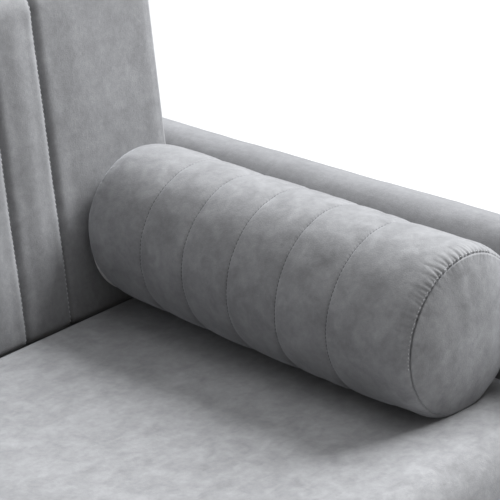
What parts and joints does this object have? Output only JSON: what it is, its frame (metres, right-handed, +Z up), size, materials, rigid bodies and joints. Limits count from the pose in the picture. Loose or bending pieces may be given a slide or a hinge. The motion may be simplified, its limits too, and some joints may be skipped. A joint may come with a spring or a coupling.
{
  "type": "sofa bed",
  "caption": "Velvet sofa bed with a flat one-piece seat, a channelled backrest that folds down flat, low padded arms and a loose round bolster at each arm.",
  "frame": {"origin": "on the floor, under the middle of the sofa's overall width and depth", "axes": "+X to the sofa's right as seen from the front, -Y towards its front, +Z up"},
  "size_m": [2, 0.8114, 0.8403],
  "materials": {
    "velvet": "matte",
    "leg_wood": "satin",
    "frame_wood": "matte",
    "zinc_steel": "satin",
    "glide_plastic": "matte",
    "foam": "matte",
    "roll_wadding": "matte",
    "dust_cloth": "matte"
  },
  "bodies": {
    "base": {"front_rail": "frame_wood", "rear_rail": "frame_wood", "side_rail_left": "frame_wood", "side_rail_right": "frame_wood", "middle_beam": "frame_wood", "corner_blocks": "frame_wood", "slat_battens": "frame_wood", "seat_slats": "frame_wood", "seat_foam": "foam", "seat_cover": "velvet", "front_rail_cover": "velvet", "rear_rail_cover": "velvet", "dust_cloth": "dust_cloth", "arm_board_left": "frame_wood", "arm_board_right": "frame_wood", "arm_foam_left": "foam", "arm_foam_right": "foam", "arm_cover_left": "velvet", "arm_cover_right": "velvet", "arm_bolts": "zinc_steel", "leg_front_left": "leg_wood", "leg_front_right": "leg_wood", "leg_rear_left": "leg_wood", "leg_rear_right": "leg_wood", "leg_middle_front": "leg_wood", "leg_middle_rear": "leg_wood", "leg_studs": "zinc_steel", "leg_plates": "zinc_steel", "leg_plate_screws": "zinc_steel", "leg_glides": "glide_plastic", "hinge_bracket_left": "zinc_steel", "hinge_bracket_right": "zinc_steel", "hinge_bracket_screws": "zinc_steel", "hinge_pin_left": "zinc_steel", "hinge_pin_right": "zinc_steel"},
    "backrest": {"back_top_rail": "frame_wood", "back_bottom_rail": "frame_wood", "back_stile_left": "frame_wood", "back_stile_right": "frame_wood", "back_slats": "frame_wood", "back_foam": "foam", "back_cover": "velvet", "back_rear_panel": "velvet", "hinge_arm_left": "zinc_steel", "hinge_arm_right": "zinc_steel", "hinge_arm_screws": "zinc_steel"},
    "bolster_left": {"bolster_barrel_left": "velvet", "bolster_ends_left": "velvet", "bolster_core_left": "roll_wadding"},
    "bolster_right": {"bolster_barrel_right": "velvet", "bolster_ends_right": "velvet", "bolster_core_right": "roll_wadding"}
  },
  "joints": [
    {"name": "backrest_fold", "type": "hinge", "parent": "base", "child": "backrest", "pos_m": [0, 0.23509, 0.39], "axis": [-1, 0, 0], "range_deg": [0, 82]},
    {"name": "bolster_left_lift", "type": "slide", "parent": "base", "child": "bolster_left", "axis": [0, 0, 1], "range_m": [0, 0.35]},
    {"name": "bolster_right_lift", "type": "slide", "parent": "base", "child": "bolster_right", "axis": [0, 0, 1], "range_m": [0, 0.35]}
  ]
}
